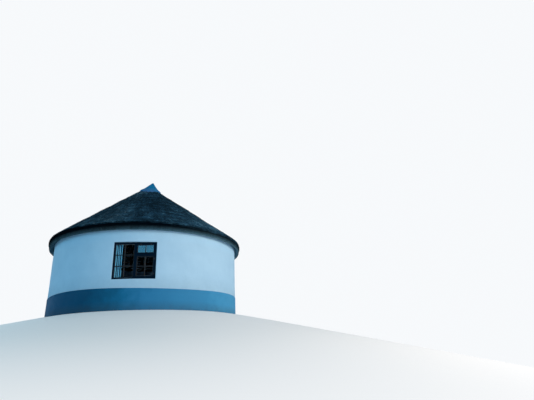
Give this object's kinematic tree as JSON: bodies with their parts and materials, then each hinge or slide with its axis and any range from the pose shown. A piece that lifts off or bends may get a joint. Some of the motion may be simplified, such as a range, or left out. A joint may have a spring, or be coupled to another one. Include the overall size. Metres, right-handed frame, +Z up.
{
  "type": "rondavel hut",
  "caption": "Round hut with a plastered masonry wall, painted plinth, small-paned windows, closed door and a conical thatched roof under a mortar cap.",
  "frame": {"origin": "centre of the round wall at ground level", "axes": "+Z up, -Y out through the front window, +Y out through the door, +X to the right of the front window"},
  "size_m": [7.67, 7.67, 6.0298],
  "materials": {
    "wall_plaster": "lime-washed smooth plaster",
    "plinth_paint": "matt blue masonry paint",
    "concrete": "trowelled concrete",
    "roof_poles": "weathered round poles",
    "thatch": "dark weathered grass thatch",
    "cap_mortar": "painted mortar",
    "joinery_paint": "dark gloss paint",
    "window_glass": "clear float glass",
    "dark_iron": "black iron",
    "rail_metal": "satin",
    "net_curtain": "thin net cloth"
  },
  "bodies": {
    "root": {"floor_slab": "concrete", "door_threshold": "concrete", "plinth_front_left": "plinth_paint", "plinth_front_right": "plinth_paint", "plinth_rear_left": "plinth_paint", "plinth_rear_right": "plinth_paint", "wall_front_left": "wall_plaster", "wall_front_right": "wall_plaster", "wall_left": "wall_plaster", "wall_right": "wall_plaster", "wall_rear_left": "wall_plaster", "wall_rear_right": "wall_plaster", "front_window_sill": "wall_plaster", "left_window_sill": "wall_plaster", "right_window_sill": "wall_plaster", "front_window_head": "wall_plaster", "left_window_head": "wall_plaster", "right_window_head": "wall_plaster", "door_head": "wall_plaster", "wall_plate": "roof_poles", "main_rafters": "roof_poles", "jack_rafters": "roof_poles", "apex_hub": "roof_poles", "laths": "roof_poles", "thatch": "thatch", "ridge_cap": "cap_mortar", "front_frame": "joinery_paint", "front_casement": "joinery_paint", "front_top_light": "joinery_paint", "front_glass": "window_glass", "left_frame": "joinery_paint", "left_casement": "joinery_paint", "left_top_light": "joinery_paint", "left_glass": "window_glass", "right_frame": "joinery_paint", "right_casement": "joinery_paint", "right_top_light": "joinery_paint", "right_glass": "window_glass", "window_boards": "joinery_paint", "door_frame": "joinery_paint", "door_leaf": "joinery_paint", "door_handle": "dark_iron", "curtain_rail": "rail_metal", "curtain": "net_curtain"}
  },
  "joints": []
}
